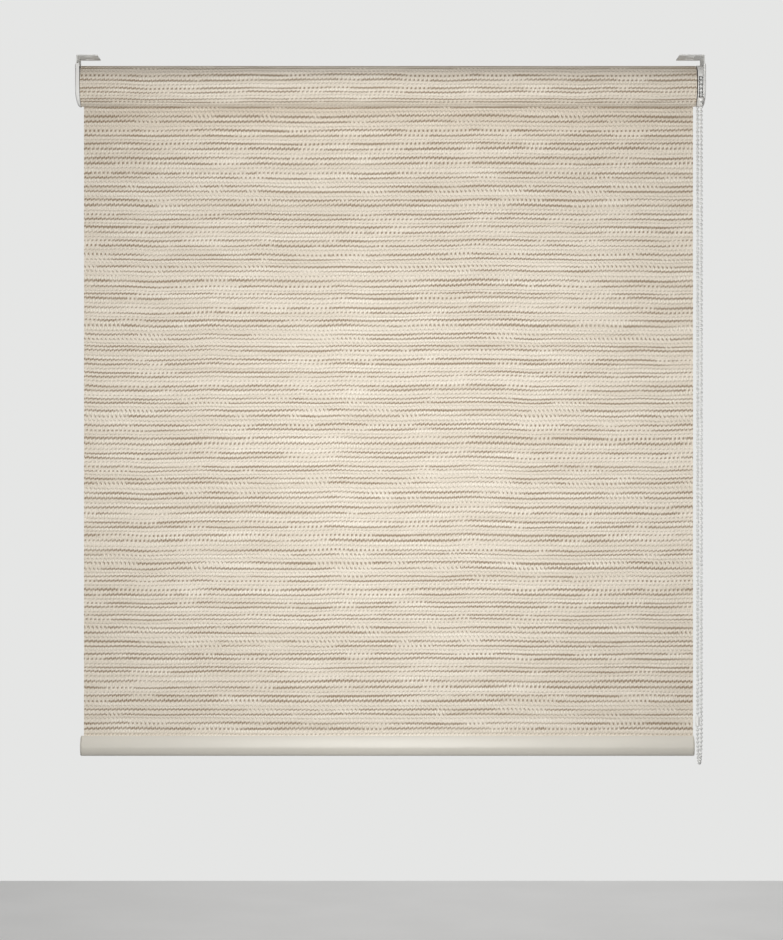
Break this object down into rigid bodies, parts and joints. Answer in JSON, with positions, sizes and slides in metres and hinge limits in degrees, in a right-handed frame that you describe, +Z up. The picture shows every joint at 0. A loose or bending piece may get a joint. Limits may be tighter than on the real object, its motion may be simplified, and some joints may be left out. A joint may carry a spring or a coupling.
{
  "type": "roller blind",
  "caption": "Chain-driven roller blind with a sprung idle end, slub-weave cloth and a teardrop bottom bar, hung between top-fixed brackets.",
  "frame": {"origin": "in the plane of the bracket feet's top faces, midway between the blind's outer faces and straight above the roller's axis", "axes": "+Z up, +X to the right as seen from the room, so the chain drive is at +X; the room is on the -Y side and the window on the +Y side"},
  "size_m": [0.9, 0.0666, 1.0163],
  "materials": {
    "white_steel": "white powder coat, satin",
    "white_plastic": "white moulded plastic, soft sheen",
    "grey_nylon": "pale grey glass-filled nylon",
    "steel": "bright zinc plate",
    "aluminium": "mill-finish extrusion",
    "cloth": "cream slub weave with fine brown horizontal lines",
    "bar_paint": "warm off-white satin paint",
    "bar_plastic": "warm off-white moulded plastic",
    "chain_plastic": "white moulded beads on a cord"
  },
  "bodies": {
    "brackets": {"idle_bracket": "white_steel", "idle_cover": "white_plastic", "idle_bush": "grey_nylon", "control_bracket": "white_steel", "control_cover": "white_plastic", "clutch_housing": "white_plastic", "chain_guard": "white_plastic", "clutch_spindle": "grey_nylon", "wrap_spring_inner": "steel", "wrap_spring_outer": "steel", "spindle_washer": "steel", "spindle_screw": "steel", "bead_chain": "chain_plastic", "fabric_drop": "cloth"},
    "roller": {"roller_tube": "aluminium", "tube_spline": "grey_nylon", "fabric_roll": "cloth", "drive_core": "grey_nylon", "chain_wheel": "grey_nylon", "idle_plug": "grey_nylon", "pin_spring": "steel"},
    "plunger": {"idle_pin": "steel"},
    "bar": {"bottom_bar": "bar_paint", "bar_spline": "grey_nylon", "bar_cap_left": "bar_plastic", "bar_cap_right": "bar_plastic"},
    "stop_bead": {"chain_stop": "white_plastic"},
    "connector": {"chain_connector": "white_plastic"}
  },
  "joints": [
    {"name": "tube_spin", "type": "hinge", "parent": "brackets", "child": "roller", "pos_m": [0, 0, -0.042], "axis": [1, 0, 0], "range_deg": [0, 1730.77]},
    {"name": "bar_lift", "type": "slide", "parent": "brackets", "child": "bar", "axis": [0, 0, 1], "range_m": [0, 0.8972], "deforming": ["fabric_drop"]},
    {"name": "stop_travel", "type": "slide", "parent": "brackets", "child": "stop_bead", "axis": [0, 0, -1], "range_m": [0, 0.75]},
    {"name": "connector_travel", "type": "slide", "parent": "brackets", "child": "connector", "axis": [0, 0, 1], "range_m": [0, 0.75]},
    {"name": "pin_retract", "type": "slide", "parent": "roller", "child": "plunger", "axis": [1, 0, 0], "range_m": [0, 0.006], "stiffness_N_per_m": 800, "springref_m": -0.003, "deforming": ["pin_spring"]}
  ],
  "couplings": [
    {"joint": "bar_lift", "follows": "tube_spin", "m_per_rad": 0.0297},
    {"joint": "stop_travel", "follows": "tube_spin", "m_per_rad": 0.024828},
    {"joint": "connector_travel", "follows": "tube_spin", "m_per_rad": 0.024828}
  ]
}
